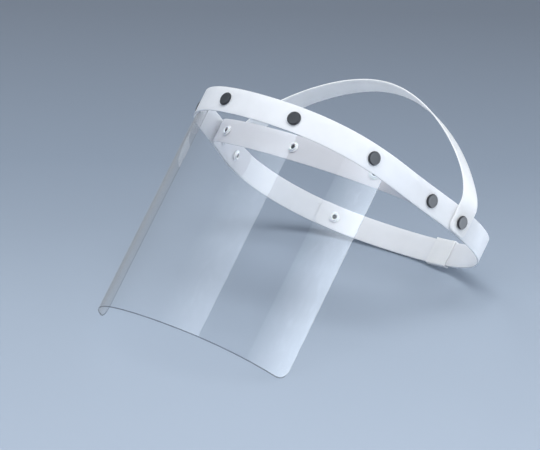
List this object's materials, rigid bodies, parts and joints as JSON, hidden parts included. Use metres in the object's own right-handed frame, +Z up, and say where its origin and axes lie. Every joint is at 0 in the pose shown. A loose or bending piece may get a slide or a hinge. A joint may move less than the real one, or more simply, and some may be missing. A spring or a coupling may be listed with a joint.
{
  "type": "face shield",
  "caption": "Clear wrap-round visor snapped inside a white plastic headband ring, with a padded brow band, a tilting crown strap and a rear size keeper.",
  "frame": {"origin": "on the centre plane, at the middle of the face of the sweat pad's middle snap cap, the part of the headband nearest the wearer's brow", "axes": "+Z up as worn, +Y from the visor to the back of the head, X across the head; the ring is level and the visor hangs along -Z"},
  "size_m": [0.231, 0.2439, 0.2649],
  "materials": {
    "strap_white": "satin translucent polyethylene",
    "visor_clear": "clear polished sheet",
    "pad_foam": "fine-celled foam",
    "snap_black": "semi-gloss",
    "snap_white": "semi-gloss",
    "keeper_white": "smooth, slightly clearer than the straps"
  },
  "bodies": {
    "headband": {"outer_band": "strap_white", "brow_band": "strap_white", "visor": "visor_clear", "sweat_pad": "pad_foam", "cap_brow_left": "snap_black", "socket_brow_left": "snap_white", "cap_brow_right": "snap_black", "socket_brow_right": "snap_white", "cap_side_left": "snap_black", "socket_side_left": "snap_white", "cap_side_right": "snap_black", "socket_side_right": "snap_white", "cap_temple_left": "snap_black", "socket_temple_left": "snap_white", "cap_temple_right": "snap_black", "socket_temple_right": "snap_white", "cap_crown_left": "snap_black", "socket_crown_left": "snap_white", "cap_crown_right": "snap_black", "socket_crown_right": "snap_white", "cap_size": "snap_black", "socket_size": "snap_white", "cap_pad_left": "snap_black", "socket_pad_left": "snap_white", "cap_pad_middle": "snap_black", "socket_pad_middle": "snap_white", "cap_pad_right": "snap_black", "socket_pad_right": "snap_white"},
    "crown": {"crown_strap": "strap_white"},
    "keeper": {"keeper_loop": "keeper_white"}
  },
  "joints": [
    {"name": "crown_tilt", "type": "hinge", "parent": "headband", "child": "crown", "pos_m": [0, 0.07354, 0.004], "axis": [1, 0, 0], "range_deg": [-10, 10]},
    {"name": "keeper_slide", "type": "hinge", "parent": "headband", "child": "keeper", "pos_m": [0.01356, 0.03806, 0.004], "axis": [0, 0, 1], "range_deg": [-1.5, 1.5]}
  ]
}
